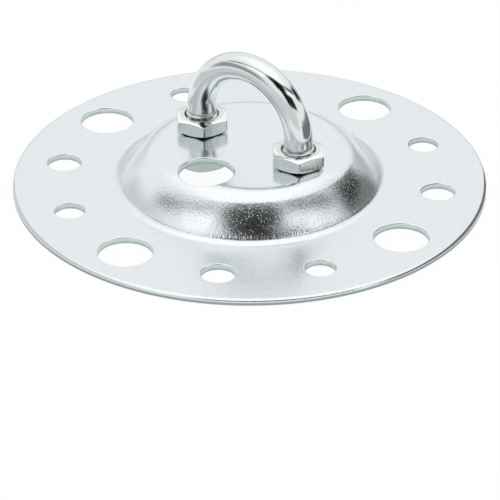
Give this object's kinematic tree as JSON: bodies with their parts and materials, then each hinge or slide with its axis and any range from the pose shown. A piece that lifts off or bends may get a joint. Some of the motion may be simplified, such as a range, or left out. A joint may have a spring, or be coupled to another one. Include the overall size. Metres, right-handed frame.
{
  "type": "ceiling hook",
  "caption": "Round pressed steel ceiling plate with a raised centre, rings of fixing holes and a nutted U-bolt to hang a load from.",
  "frame": {"origin": "centre of the plate on its ceiling face", "axes": "+Z out of the ceiling face along the U-bolt's legs, X through both legs, -Y toward the cable hole"},
  "size_m": [0.15, 0.15, 0.0451],
  "materials": {
    "plate_zinc": "bright zinc plating on pressed sheet",
    "bolt_zinc": "bright zinc plating on drawn bar",
    "nut_zinc": "satin zinc plating"
  },
  "bodies": {
    "root": {"ceiling_plate": "plate_zinc", "u_bolt": "bolt_zinc", "upper_nuts": "nut_zinc", "lock_washers": "nut_zinc", "lower_nuts": "nut_zinc"}
  },
  "joints": []
}
